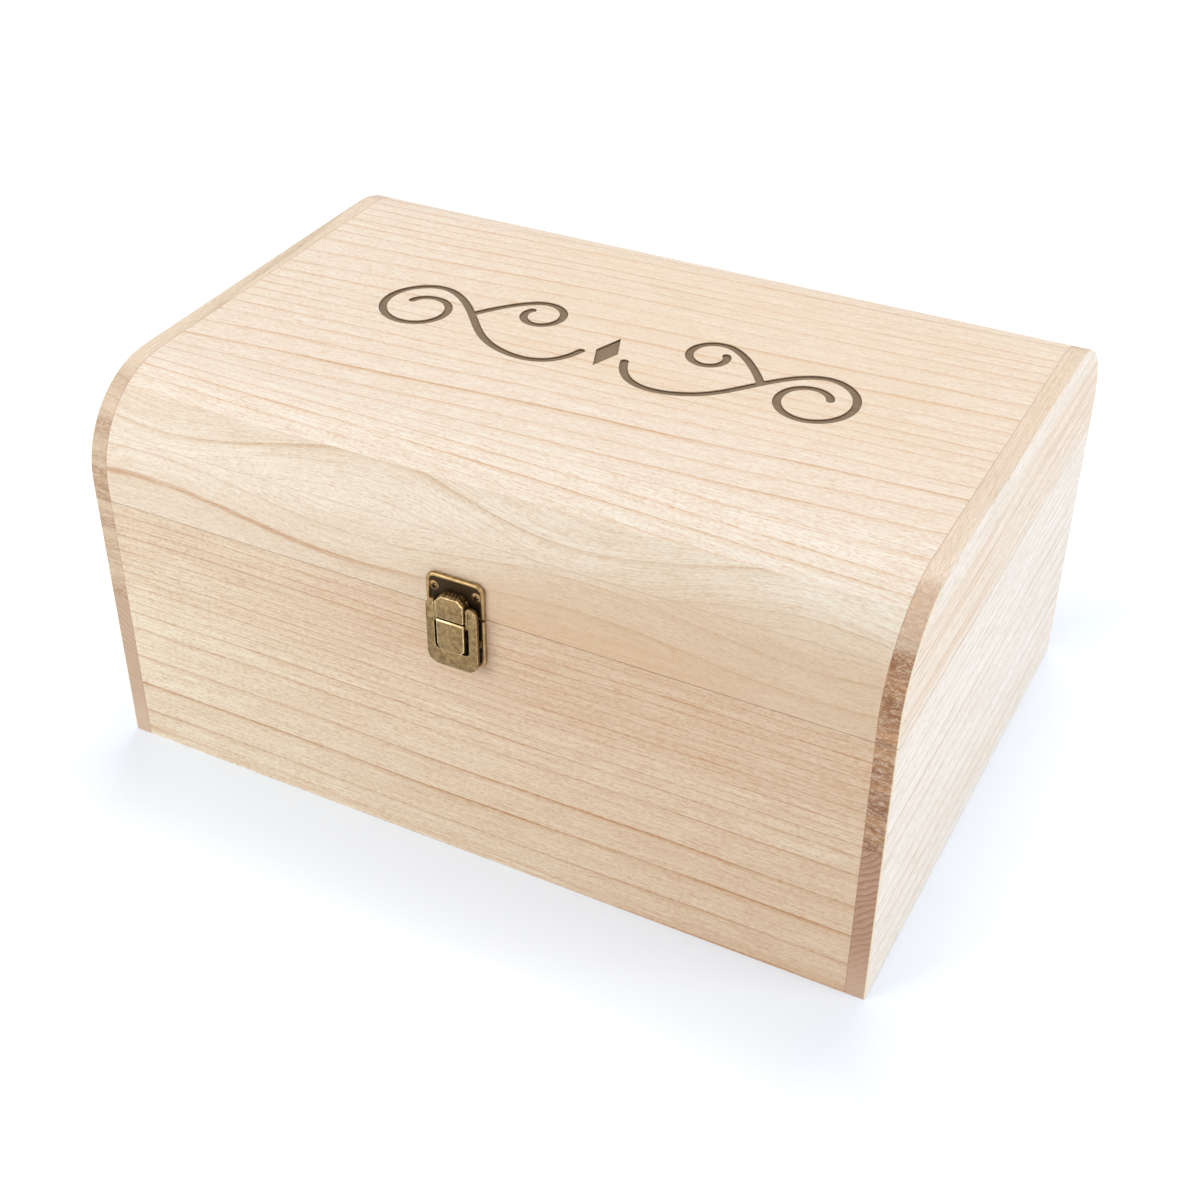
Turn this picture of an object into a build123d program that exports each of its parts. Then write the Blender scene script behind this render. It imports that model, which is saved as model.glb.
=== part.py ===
"""A wooden keepsake box with rounded shoulders, a hinged lid and a lever latch.

The carcass is glued up shut, rounded, and then sawn into base and lid. Its two end boards run the
full depth and height, and the long boards lie between them. The origin is the middle of the
underside: X runs along the box, the front faces -Y and Z is up. All sizes are in millimetres.
"""

from build123d import *
import os
from math import cos, radians, sin, sqrt

os.makedirs("parts", exist_ok=True)

# ---------------------------------------------------------------- driving dimensions
# carcass
box_width = 350
box_depth = 250
box_height = 176
seam_height = 125            # middle of the saw cut between base and lid
seam_gap = 0.3
round_radius = 43            # front and back shoulders of the lid
end_thickness = 8.4
wall_thickness = 8.4         # front and back walls up to the shoulder
top_thickness = 7
bottom_thickness = 5
bottom_rebate = 4            # reach of the bottom board into the walls around it
rail_land = 12               # glue land of the shoulder rails under the top board
joint_length = 3             # tongues of the long walls in the end boards
joint_thickness = 3.4
joint_clearance = 0.2        # glue room at the end of each tongue
edge_softening = 0.8

# engraved flourish on the lid
engraving_depth = 0.8
engraving_stroke = 3.6
flourish_reach = 111         # from the middle of the lid to either end
stem_dip = 20
curl_radius = 20             # outer turn of the curl that ends each stem
curl_eye = 8                 # radius where that curl stops
bud_radius = 12
bud_eye = 6
bud_rise = 16
lozenge_width = 10
lozenge_height = 26

# wood screws
screw_length = 8
screw_shank_radius = 1.0
screw_head_radius = 2.1
screw_dome = 0.5             # rise of the oval head above its plate
screw_slot_width = 0.6       # arms of the cross recess
screw_slot_reach = 1.3
screw_slot_depth = 1.2
screw_clearance = 0.05

# latch, measured out from the front wall
latch_width = 25.4
latch_plate_height = 22.8
strike_plate_height = 15
latch_plate_drop = 0.5       # top edge of the latch plate below the seam
strike_plate_rise = 0.6      # lower edge of the strike plate above the seam
plate_thickness = 1.6
plate_corner = 4
plate_rim = 1.5
plate_field_depth = 0.7
latch_screw_spacing = 18.4
strike_screw_rise = 8.8      # above the lower edge of the strike plate
latch_screw_drop = 11.5      # below the top edge of the latch plate
nose_width = 12
nose_height = 10
nose_drop = 1                # lower edge of the nose below the seam
nose_corner = 2.4
nose_standoff = 6            # front of the nose and of the tongue
nose_relief = 0.6            # gap behind the part of the nose that hangs over the latch plate
tongue_height = 14
tongue_gap = 1               # between nose and tongue
tongue_corner = 3
tongue_thickness = 3
tongue_roll = 0.9
tongue_tab_width = 9
tongue_tab_height = 6
tongue_tab_thickness = 0.9
ring_width = 22.3
ring_bar = 3.6
ring_foot = 7.5
ring_foot_gap = 0.5          # between tongue and foot bar
ring_corner = 5
ring_inner_corner = 2
ring_thickness = 1.6
ring_standoff = 3.3          # back of the ring
ring_tip_rise = 2            # arm tips above the pivot
ring_shoulder_drop = 2.6     # start of the inward sweep below the pivot
pivot_rise = 4               # lever pivot above the seam
pivot_standoff = 3.6
pivot_pin_radius = 0.7
knuckle_radius = 1.4
knuckle_length = 2.2
ear_thickness = 1
ear_foot = 6                 # height of each ear's root on the latch plate
latch_side_clearance = 0.3
running_clearance = 0.05

# hinges, one at each end of the back
hinge_inset = 70              # from each end of the box to the middle of its hinge
hinge_width = 30
hinge_leaf_height = 16
hinge_leaf_thickness = 1.2
hinge_barrel_radius = 2.2
hinge_pin_radius = 1.1
hinge_pin_head_radius = 1.7
hinge_pin_head_length = 0.8
hinge_knuckle_gap = 0.3
hinge_wall_gap = 0.1         # between barrel and back wall
hinge_screw_spacing = 17
hinge_screw_drop = 9.5
hinge_corner = 1.5
lid_opening_angle = 95
stop_flap_radius = 7
stop_flap_thickness = 1.2
stop_flap_slack = 1.5        # degrees between the flaps at full opening

# ---------------------------------------------------------------- places worked out from them
front = -box_depth / 2
back = box_depth / 2
half_width = box_width / 2
inner_half_width = half_width - end_thickness
shoulder_height = box_height - round_radius
top_joint_height = box_height - top_thickness
top_joint_inset = round_radius - sqrt(round_radius**2 - (top_joint_height - shoulder_height) ** 2)
saw_bottom = seam_height - seam_gap / 2
saw_top = seam_height + seam_gap / 2

front_face = Plane.XZ.offset(box_depth / 2)
latch_plate_top = seam_height - latch_plate_drop
strike_plate_bottom = seam_height + strike_plate_rise
latch_screw_height = latch_plate_top - latch_screw_drop
strike_screw_height = strike_plate_bottom + strike_screw_rise
pivot_y = front - pivot_standoff
pivot_z = seam_height + pivot_rise
nose_bottom = seam_height - nose_drop
tongue_top = nose_bottom - tongue_gap
tongue_bottom = tongue_top - tongue_height
ring_inner_bottom = tongue_bottom - ring_foot_gap
ring_bottom = ring_inner_bottom - ring_foot
ring_inner_half = ring_width / 2 - ring_bar
ear_inner = nose_width / 2 + latch_side_clearance

hinge_y = back + hinge_wall_gap + hinge_barrel_radius
hinge_z = seam_height


def save(builder, name):
    """Label a finished piece and write it to its own STEP file."""
    builder.part.label = name
    export_step(builder.part, f"parts/{name}.step")


# ---------------------------------------------------------------- wood screw
# An oval countersunk head with a cross recess, on a plain shank with a point. It stands on the
# XY plane with the rim of its head at z = 0 and its point down.
with BuildPart() as wood_screw:
    with BuildSketch(Plane.XZ):
        with BuildLine():
            Polyline(
                (0, screw_dome),
                (0, -screw_length),
                (screw_shank_radius, -screw_length + 2 * screw_shank_radius),
                (screw_shank_radius, screw_shank_radius - screw_head_radius),
                (screw_head_radius, 0),
            )
            ThreePointArc(
                (screw_head_radius, 0),
                (screw_head_radius / 2, screw_dome * 0.75),
                (0, screw_dome),
            )
        make_face()
    revolve(axis=Axis.Z)
    with BuildSketch(Plane.XY.offset(screw_dome)):
        Rectangle(2 * screw_slot_reach, screw_slot_width)
        Rectangle(screw_slot_width, 2 * screw_slot_reach)
    extrude(amount=-screw_slot_depth, mode=Mode.SUBTRACT)


def drill_screw_holes(plane, places):
    """Cut room for screws that stand on the plane, countersunk where their heads lie."""
    with Locations(*[plane.location * Location((x, y, 0)) for x, y in places]):
        CounterSinkHole(
            radius=screw_shank_radius + screw_clearance,
            counter_sink_radius=screw_head_radius + screw_clearance,
            depth=screw_length + screw_clearance,
            counter_sink_angle=90,
        )


# ---------------------------------------------------------------- outline of the shut box
# Drawn flat, with Y across the page and Z up it.
with BuildSketch() as side_outline:
    with Locations((0, box_height / 2)):
        Rectangle(box_depth, box_height)
    fillet(side_outline.vertices().group_by(Axis.Y)[-1], round_radius)


def sawn_line(keep_lid):
    """Keep the lid's side or the base's side of the saw cut through the shut box."""
    if keep_lid:
        split(bisect_by=Plane.XY.offset(saw_top), keep=Keep.TOP)
    else:
        split(bisect_by=Plane.XY.offset(saw_bottom), keep=Keep.BOTTOM)


# ---------------------------------------------------------------- screw places
# Each plane lies where the screws' head rims seat, facing away from the wood.
plate_field = front_face.offset(plate_thickness - plate_field_depth)
strike_screw_places = [(x * latch_screw_spacing / 2, strike_screw_height) for x in (-1, 1)]
latch_screw_places = [(x * latch_screw_spacing / 2, latch_screw_height) for x in (-1, 1)]

back_face = Plane(origin=(0, back, 0), x_dir=(-1, 0, 0), z_dir=(0, 1, 0))
leaf_face = back_face.offset(hinge_leaf_thickness)
hinge_centres = {"left": hinge_inset - box_width / 2, "right": box_width / 2 - hinge_inset}


def hinge_screw_places(centre, rise):
    """Places of one leaf's two screws on the plane of the leaves, whose own X runs backwards."""
    return [(x * hinge_screw_spacing / 2 - centre, hinge_z + rise) for x in (-1, 1)]


# ---------------------------------------------------------------- end boards
# Each end board is one rounded board, grooved for the long walls and rebated for the bottom,
# and then sawn into its base and lid parts.
groove_bottom = bottom_thickness + joint_thickness
groove_height = shoulder_height - groove_bottom
groove_depth = joint_length + joint_clearance
wall_middle = box_depth / 2 - wall_thickness / 2

for side, hand in ((-1, "left"), (1, "right")):
    with BuildPart() as whole_end:
        with BuildSketch(Plane.YZ.offset(side * half_width)):
            add(side_outline.sketch)
        extrude(amount=-side * end_thickness)
        outer_face = whole_end.faces().sort_by(Axis.X)[-1 if side > 0 else 0]
        fillet(outer_face.outer_wire().edges(), edge_softening)
        with Locations(
            *[
                (side * (inner_half_width + groove_depth / 2), y, groove_bottom + groove_height / 2)
                for y in (-wall_middle, wall_middle)
            ]
        ):
            Box(groove_depth, joint_thickness, groove_height, mode=Mode.SUBTRACT)
        with Locations((side * (inner_half_width + bottom_rebate / 2), 0, bottom_thickness / 2)):
            Box(
                bottom_rebate,
                box_depth - 2 * (wall_thickness - bottom_rebate),
                bottom_thickness,
                mode=Mode.SUBTRACT,
            )

    with BuildPart() as base_end:
        add(whole_end.part)
        sawn_line(keep_lid=False)
    save(base_end, f"base_{hand}_end")

    with BuildPart() as lid_end:
        add(whole_end.part)
        sawn_line(keep_lid=True)
    save(lid_end, f"lid_{hand}_end")

# ---------------------------------------------------------------- front and back walls
# Seen from the end, each wall is thin up to the shoulder. Above it the wall thickens inwards
# behind the round, and it ends in a flat land that the top board lies on.
with BuildSketch() as front_wall_section:
    add(side_outline.sketch)
    with BuildLine():
        Polyline(
            (front, 0),
            (front, top_joint_height),
            (front + top_joint_inset + rail_land, top_joint_height),
            (front + wall_thickness, shoulder_height),
            (front + wall_thickness, 0),
            close=True,
        )
    make_face(mode=Mode.INTERSECT)

with BuildPart() as whole_front_wall:
    with BuildSketch(Plane.YZ):
        add(front_wall_section.sketch)
    extrude(amount=inner_half_width, both=True)
    with Locations((0, front + wall_thickness - bottom_rebate / 2, bottom_thickness / 2)):
        Box(2 * inner_half_width, bottom_rebate, bottom_thickness, mode=Mode.SUBTRACT)
    with Locations(
        *[
            (
                side * (inner_half_width + joint_length / 2),
                -wall_middle,
                groove_bottom + groove_height / 2,
            )
            for side in (-1, 1)
        ]
    ):
        Box(joint_length, joint_thickness, groove_height)

with BuildPart() as base_front_panel:
    add(whole_front_wall.part)
    sawn_line(keep_lid=False)
    drill_screw_holes(plate_field, latch_screw_places)
save(base_front_panel, "base_front_panel")

with BuildPart() as lid_front_rail:
    add(whole_front_wall.part)
    sawn_line(keep_lid=True)
    drill_screw_holes(plate_field, strike_screw_places)
save(lid_front_rail, "lid_front_rail")

with BuildPart() as whole_back_wall:
    mirror(whole_front_wall.part, about=Plane.XZ)

with BuildPart() as base_back_panel:
    add(whole_back_wall.part)
    sawn_line(keep_lid=False)
    for centre in hinge_centres.values():
        drill_screw_holes(leaf_face, hinge_screw_places(centre, -hinge_screw_drop))
save(base_back_panel, "base_back_panel")

with BuildPart() as lid_back_rail:
    add(whole_back_wall.part)
    sawn_line(keep_lid=True)
    for centre in hinge_centres.values():
        drill_screw_holes(leaf_face, hinge_screw_places(centre, hinge_screw_drop))
save(lid_back_rail, "lid_back_rail")

# ---------------------------------------------------------------- bottom board
with BuildPart() as bottom_board:
    with BuildSketch():
        Rectangle(
            2 * (inner_half_width + bottom_rebate),
            box_depth - 2 * (wall_thickness - bottom_rebate),
        )
    extrude(amount=bottom_thickness)
save(bottom_board, "bottom_board")

# ---------------------------------------------------------------- top board
# It lies on both rails and carries the upper end of each round. Its engraving is a scroll on
# either side of a lozenge: a stem that dips and ends in a curl, and a bud that curls back from it.


def curl(centre_x, centre_y, start_radius, end_radius, start_angle, end_angle, steps):
    """Points on a spiral whose radius changes evenly with its angle, in degrees."""
    points = []
    for step in range(steps + 1):
        share = step / steps
        radius = start_radius + (end_radius - start_radius) * share
        angle = radians(start_angle + (end_angle - start_angle) * share)
        points.append((centre_x + radius * cos(angle), centre_y + radius * sin(angle)))
    return points


curl_centre = flourish_reach - engraving_stroke / 2 - curl_radius
fork = (0.6 * flourish_reach, 0.2 * stem_dip)
stem_points = [
    (lozenge_width, -0.2 * stem_dip),
    (0.23 * flourish_reach, -stem_dip),
    (0.43 * flourish_reach, -0.75 * stem_dip),
    fork,
    *curl(curl_centre, 0, curl_radius, curl_eye, 80, -330, 10),
]
bud_points = [fork, *curl(0.36 * flourish_reach, bud_rise, bud_radius, bud_eye, 45, 390, 8)]

with BuildPart() as lid_top_board:
    with BuildSketch(Plane.YZ):
        add(side_outline.sketch)
        with Locations((0, top_joint_height / 2)):
            Rectangle(box_depth, top_joint_height, mode=Mode.SUBTRACT)
    extrude(amount=inner_half_width, both=True)
    with BuildSketch(Plane.XY.offset(box_height)):
        with BuildLine():
            Polyline(
                (0, lozenge_height / 2),
                (lozenge_width / 2, 0),
                (0, -lozenge_height / 2),
                (-lozenge_width / 2, 0),
                close=True,
            )
        make_face()
        for points in (stem_points, bud_points):
            with BuildLine() as stroke:
                Spline(*points)
            trace(stroke.line, engraving_stroke)
            with Locations(points[0], points[-1]):
                Circle(engraving_stroke / 2)
        mirror(about=Plane.YZ)
    extrude(amount=-engraving_depth, mode=Mode.SUBTRACT)
save(lid_top_board, "lid_top_board")

# ---------------------------------------------------------------- latch plate and strike plate
# Both are stamped plates with a raised rim on every side but the one at the seam.


def stamped_plate(height, edge_at_seam, toward_seam):
    """Raise a plate on the front wall from its seam edge, with its field sunk inside the rim."""
    grip = (Align.CENTER, Align.MAX if toward_seam > 0 else Align.MIN)
    far_side = 0 if toward_seam > 0 else -1
    with BuildSketch(front_face) as plate_outline:
        with Locations((0, edge_at_seam)):
            Rectangle(latch_width, height, align=grip)
        fillet(plate_outline.vertices().group_by(Axis.Y)[far_side], plate_corner)
    extrude(plate_outline.sketch, amount=plate_thickness)
    with BuildSketch(plate_field) as field_outline:
        with Locations((0, edge_at_seam)):
            Rectangle(latch_width - 2 * plate_rim, height - plate_rim, align=grip)
        fillet(field_outline.vertices().group_by(Axis.Y)[far_side], plate_corner - plate_rim)
    extrude(field_outline.sketch, amount=plate_field_depth, mode=Mode.SUBTRACT)


with BuildPart() as latch_plate:
    stamped_plate(latch_plate_height, latch_plate_top, toward_seam=1)
    for side in (-1, 1):
        with BuildSketch(Plane.YZ.offset(side * (ear_inner + ear_thickness / 2))) as ear:
            with BuildLine():
                Polyline(
                    (front, latch_plate_top - ear_foot),
                    (pivot_y, latch_plate_top - ear_foot),
                    (pivot_y - knuckle_radius, latch_plate_top - ear_foot / 2),
                    (pivot_y - knuckle_radius, pivot_z),
                    (pivot_y + knuckle_radius, pivot_z),
                    (pivot_y + knuckle_radius, latch_plate_top),
                    (front, latch_plate_top),
                    close=True,
                )
            make_face()
            with Locations((pivot_y, pivot_z)):
                Circle(knuckle_radius)
                Circle(pivot_pin_radius, mode=Mode.SUBTRACT)
        extrude(amount=ear_thickness / 2, both=True)
    drill_screw_holes(plate_field, latch_screw_places)
save(latch_plate, "latch_plate")

with BuildPart() as strike_plate:
    stamped_plate(strike_plate_height, strike_plate_bottom, toward_seam=-1)
    with BuildSketch(front_face.offset(plate_thickness + nose_relief)) as nose_outline:
        with Locations((0, nose_bottom)):
            Rectangle(nose_width, nose_height, align=(Align.CENTER, Align.MIN))
        chamfer(nose_outline.vertices().group_by(Axis.Y)[-1], nose_corner)
    extrude(amount=nose_standoff - plate_thickness - nose_relief)
    nose_front = strike_plate.faces().sort_by(Axis.Y)[0]
    fillet(nose_front.outer_wire().edges(), edge_softening / 2)
    with BuildSketch(front_face):
        with Locations((0, strike_plate_bottom)):
            Rectangle(
                nose_width - 2 * nose_corner,
                nose_bottom + nose_height - strike_plate_bottom,
                align=(Align.CENTER, Align.MIN),
            )
    extrude(amount=plate_thickness + nose_relief)
    drill_screw_holes(plate_field, strike_screw_places)
save(strike_plate, "strike_plate")

for name, places in (("strike_screws", strike_screw_places), ("latch_screws", latch_screw_places)):
    with BuildPart() as plate_screws:
        with Locations(*[plate_field.location * Location((x, z, 0)) for x, z in places]):
            add(wood_screw.part)
    save(plate_screws, name)

# ---------------------------------------------------------------- latch lever
# A flat ring open at the top, whose two arms carry knuckles, and a tongue riveted to its foot.
knuckle_inner = ear_inner + ear_thickness + latch_side_clearance

with BuildPart() as latch_ring:
    with BuildSketch(front_face.offset(ring_standoff)):
        outer_x = ring_width / 2
        sweep_start = pivot_z - ring_shoulder_drop
        tip_height = pivot_z + ring_tip_rise
        with BuildLine() as half_ring:
            Line((0, ring_inner_bottom), (0, ring_bottom))
            Line((0, ring_bottom), (outer_x - ring_corner, ring_bottom))
            RadiusArc(
                (outer_x - ring_corner, ring_bottom), (outer_x, ring_bottom + ring_corner), -ring_corner
            )
            Line((outer_x, ring_bottom + ring_corner), (outer_x, sweep_start))
            TangentArc((outer_x, sweep_start), (ring_inner_half, tip_height), tangent=(0, 1))
            Line((ring_inner_half, tip_height), (ring_inner_half, ring_inner_bottom + ring_inner_corner))
            RadiusArc(
                (ring_inner_half, ring_inner_bottom + ring_inner_corner),
                (ring_inner_half - ring_inner_corner, ring_inner_bottom),
                ring_inner_corner,
            )
            Line((ring_inner_half - ring_inner_corner, ring_inner_bottom), (0, ring_inner_bottom))
        make_face()
        mirror(about=Plane.YZ)
    extrude(amount=ring_thickness)
    for side in (-1, 1):
        with BuildSketch(Plane.YZ.offset(side * knuckle_inner)):
            with Locations((pivot_y, pivot_z)):
                Circle(knuckle_radius)
        extrude(amount=side * knuckle_length)
        with BuildSketch(Plane.YZ.offset(side * (knuckle_inner - latch_side_clearance))):
            with Locations((pivot_y, pivot_z)):
                Circle(pivot_pin_radius + running_clearance)
        extrude(amount=side * (knuckle_length + latch_side_clearance), mode=Mode.SUBTRACT)
save(latch_ring, "latch_ring")

with BuildPart() as latch_tongue:
    with BuildSketch(front_face.offset(nose_standoff)) as tongue_outline:
        with Locations((0, tongue_bottom)):
            Rectangle(nose_width, tongue_height, align=(Align.CENTER, Align.MIN))
        fillet(tongue_outline.vertices().group_by(Axis.Y)[0], tongue_corner)
    extrude(amount=-tongue_thickness)
    top_edge = latch_tongue.faces().sort_by(Axis.Y)[0].edges().sort_by(Axis.Z)[-1]
    fillet(top_edge, tongue_roll)
    with BuildSketch(front_face.offset(ring_standoff)):
        with Locations((0, ring_inner_bottom + ring_inner_corner)):
            Rectangle(tongue_tab_width, tongue_tab_height, align=(Align.CENTER, Align.MAX))
    extrude(amount=-tongue_tab_thickness)
save(latch_tongue, "latch_tongue")

with BuildPart() as latch_pivot_pins:
    for side in (-1, 1):
        with BuildSketch(Plane.YZ.offset(side * ear_inner)):
            with Locations((pivot_y, pivot_z)):
                Circle(pivot_pin_radius)
        extrude(amount=side * (ear_thickness + latch_side_clearance + knuckle_length))
save(latch_pivot_pins, "latch_pivot_pins")

# ---------------------------------------------------------------- hinges
# Each leaf is screwed to the back and carries a flap along its barrel. The flaps of the two
# leaves meet face to face and stop the lid a little past upright.
knuckle_span = (hinge_width - 2 * hinge_knuckle_gap) / 3
middle_reach = knuckle_span / 2
outer_middle = middle_reach + hinge_knuckle_gap + knuckle_span / 2
flap_angle = (lid_opening_angle + stop_flap_slack) / 2
base_knuckles = [(-outer_middle, knuckle_span), (outer_middle, knuckle_span)]
lid_knuckles = [(0, knuckle_span)]


def round_bar(centre, span, radius, mode):
    """Add or cut a round bar on the hinge's axis, with its middle at the given place along X."""
    with BuildSketch(Plane.YZ.offset(centre)) as bar_section:
        with Locations((hinge_y, hinge_z)):
            Circle(radius)
    extrude(bar_section.sketch, amount=span / 2, both=True, mode=mode)


def hinge_leaf(centre, up, own_knuckles, other_knuckles):
    """Build one leaf of a hinge in the current part; up is 1 for the lid leaf, -1 for the base."""
    with BuildSketch(back_face) as leaf_outline:
        with Locations((-centre, hinge_z + up * (seam_gap / 2 + hinge_leaf_height / 2))):
            RectangleRounded(hinge_width, hinge_leaf_height, hinge_corner)
    extrude(leaf_outline.sketch, amount=hinge_leaf_thickness)
    with BuildSketch(Plane.YZ.offset(centre)) as flap_section:
        with Locations(Location((hinge_y, hinge_z, 0), (0, 0, up * flap_angle))):
            Rectangle(
                stop_flap_radius,
                stop_flap_thickness,
                align=(Align.MIN, Align.MIN if up > 0 else Align.MAX),
            )
    extrude(flap_section.sketch, amount=hinge_width / 2, both=True)
    for place, span in other_knuckles:
        clear_radius = hinge_barrel_radius + hinge_knuckle_gap
        round_bar(centre + place, span + 2 * hinge_knuckle_gap, clear_radius, Mode.SUBTRACT)
    for place, span in own_knuckles:
        round_bar(centre + place, span, hinge_barrel_radius, Mode.ADD)
    round_bar(centre, hinge_width, hinge_pin_radius + running_clearance, Mode.SUBTRACT)
    drill_screw_holes(leaf_face, hinge_screw_places(centre, up * hinge_screw_drop))


for hand, centre in hinge_centres.items():
    with BuildPart() as base_leaf:
        hinge_leaf(centre, -1, base_knuckles, lid_knuckles)
    save(base_leaf, f"hinge_{hand}_base_leaf")

    with BuildPart() as lid_leaf:
        hinge_leaf(centre, 1, lid_knuckles, base_knuckles)
    save(lid_leaf, f"hinge_{hand}_lid_leaf")

    with BuildPart() as hinge_pin:
        round_bar(centre, hinge_width, hinge_pin_radius, Mode.ADD)
        for end in (-1, 1):
            head_middle = centre + end * (hinge_width + hinge_pin_head_length) / 2
            round_bar(head_middle, hinge_pin_head_length, hinge_pin_head_radius, Mode.ADD)
    save(hinge_pin, f"hinge_{hand}_pin")

    for owner, up in (("base", -1), ("lid", 1)):
        places = hinge_screw_places(centre, up * hinge_screw_drop)
        with BuildPart() as leaf_screws:
            with Locations(*[leaf_face.location * Location((x, z, 0)) for x, z in places]):
                add(wood_screw.part)
        save(leaf_screws, f"hinge_{hand}_{owner}_screws")
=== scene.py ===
"""Keepsake box: the finish of its boards, its latch and hinges, and the studio it stands in.

Every length is in metres unless it is said to be in millimetres. X runs along the box, the front
faces -Y and Z is up.
"""

import math

import bpy
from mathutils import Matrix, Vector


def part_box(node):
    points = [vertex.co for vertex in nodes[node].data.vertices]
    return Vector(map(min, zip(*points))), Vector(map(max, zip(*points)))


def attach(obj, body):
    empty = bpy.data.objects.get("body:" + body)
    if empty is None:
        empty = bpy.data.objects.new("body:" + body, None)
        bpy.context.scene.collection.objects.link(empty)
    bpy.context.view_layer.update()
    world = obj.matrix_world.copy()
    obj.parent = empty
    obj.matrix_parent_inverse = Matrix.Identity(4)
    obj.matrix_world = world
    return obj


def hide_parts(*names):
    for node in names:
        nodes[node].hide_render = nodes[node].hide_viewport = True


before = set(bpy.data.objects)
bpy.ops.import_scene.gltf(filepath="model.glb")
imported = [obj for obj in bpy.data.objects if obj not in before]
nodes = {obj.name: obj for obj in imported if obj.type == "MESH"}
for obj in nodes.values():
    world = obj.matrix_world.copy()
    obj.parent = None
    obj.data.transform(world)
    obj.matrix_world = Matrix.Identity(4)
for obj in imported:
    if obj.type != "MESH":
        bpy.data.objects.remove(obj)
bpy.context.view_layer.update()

# ---------------------------------------------------------------- front wall of the base
# Paulownia, sanded and left bare, with its grain along the box. It is glued between the ends.
# Its growth rings cross the face as long level lines, close together near the seam.
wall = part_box("base_front_panel")[0][1]


class Wire:
    """A socket in a material's nodes. Arithmetic on it adds Math nodes."""

    def __init__(self, tree, socket=None):
        self.tree = tree
        self.socket = socket

    def add(self, kind, settings=None, inputs=None, output=0):
        """Add a node with its settings and its inputs, and return one of its outputs."""
        node = self.tree.nodes.new(kind)
        for name, value in (settings or {}).items():
            setattr(node, name, value)
        for name, value in (inputs or {}).items():
            if isinstance(value, Wire):
                value.link(node, name)
            else:
                node.inputs[name].default_value = value
        return Wire(self.tree, node.outputs[output])

    def link(self, node, name):
        """Lead this value into one input of a node."""
        self.tree.links.new(self.socket, node.inputs[name])

    def math(self, operation, *others):
        """Put this value, and any others after it, through a Math node."""
        values = dict(enumerate((self, *others)))
        return self.add("ShaderNodeMath", {"operation": operation}, values)

    def __add__(self, other):
        return self.math("ADD", other)

    def __sub__(self, other):
        return self.math("SUBTRACT", other)

    def __rsub__(self, other):
        return self.add("ShaderNodeMath", {"operation": "SUBTRACT"}, {0: other, 1: self})

    def __mul__(self, other):
        return self.math("MULTIPLY", other)

    def __truediv__(self, other):
        return self.math("DIVIDE", other)

    def __pow__(self, other):
        return self.math("POWER", other)

    def __abs__(self):
        return self.math("ABSOLUTE")

    __radd__ = __add__
    __rmul__ = __mul__

    def ease(self, low, high, out_low=0.0, out_high=1.0):
        """Go smoothly from out_low to out_high while this value goes from low to high."""
        inputs = {0: self, 1: low, 2: high, 3: out_low, 4: out_high}
        return self.add("ShaderNodeMapRange", {"interpolation_type": "SMOOTHSTEP"}, inputs)

    def tint(self, under, over):
        """Mix two colours, with this value as the share of the second."""
        inputs = {0: self, 6: under, 7: over}
        return self.add("ShaderNodeMix", {"data_type": "RGBA"}, inputs, output=2)

    def noise(self, x, y, z, detail=2.0, roughness=0.5):
        """Noise about 0 over three values, from about -0.5 to 0.5."""
        place = self.add("ShaderNodeCombineXYZ", {}, {0: x, 1: y, 2: z})
        inputs = {"Vector": place, "Scale": 1.0, "Detail": detail, "Roughness": roughness}
        return self.add("ShaderNodeTexNoise", {}, inputs) - 0.5

    def axes(self, kind):
        """The X, Y and Z of a point's place (Object) or of the way it faces (Normal)."""
        whole = self.add("ShaderNodeTexCoord", output=kind)
        return [self.add("ShaderNodeSeparateXYZ", {}, {0: whole}, axis) for axis in range(3)]


def screen(red, green, blue):
    """A colour as it looks on a screen, in 0 to 255, made linear for the renderer."""
    linear = []
    for part in (red, green, blue):
        value = part / 255
        linear.append(value / 12.92 if value <= 0.04045 else ((value + 0.055) / 1.055) ** 2.4)
    return (*linear, 1.0)


def new_material(name):
    """Start a material, and return it with its surface shader and a wire to build on."""
    material = bpy.data.materials.new(name)
    material.use_nodes = True
    tree = material.node_tree
    return material, tree.nodes["Principled BSDF"], Wire(tree)


def lead_in(surface, tone, rough, height, relief):
    """Lead a colour, a roughness and a bump height, with its depth, into a surface shader."""
    bump_inputs = {"Strength": 0.25, "Distance": relief, "Height": height}
    tone.link(surface, "Base Color")
    rough.link(surface, "Roughness")
    height.add("ShaderNodeBump", {}, bump_inputs).link(surface, "Normal")


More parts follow.
